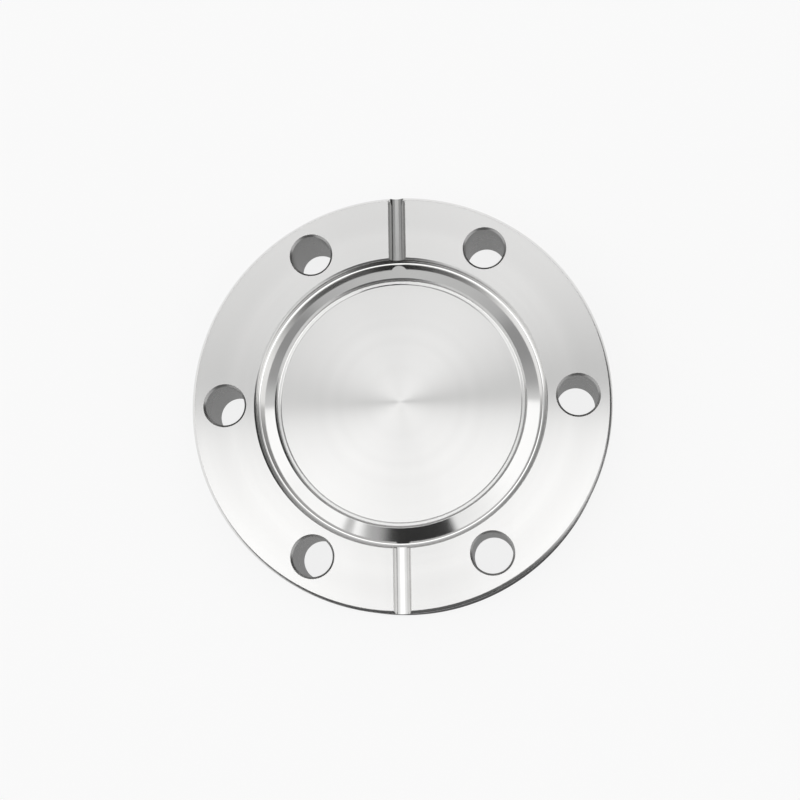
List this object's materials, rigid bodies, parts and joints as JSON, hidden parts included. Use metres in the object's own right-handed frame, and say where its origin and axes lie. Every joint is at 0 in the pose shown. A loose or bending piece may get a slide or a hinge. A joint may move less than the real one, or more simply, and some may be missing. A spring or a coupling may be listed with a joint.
{
  "type": "blank vacuum flange",
  "caption": "Round stainless steel blank vacuum flange with a sealing recess and knife edge, a ring of bolt holes and leak-check grooves cut out to the rim.",
  "frame": {"origin": "centre of the flat back face", "axes": "+Z along the flange's axis and out of its sealing face, +X through one bolt hole, +Y along a leak-check groove"},
  "size_m": [0.0698, 0.0698, 0.0127],
  "materials": {
    "stainless_steel": "fine turned and bright, with concentric tool marks"
  },
  "bodies": {
    "root": {"blank_flange": "stainless_steel"}
  },
  "joints": []
}
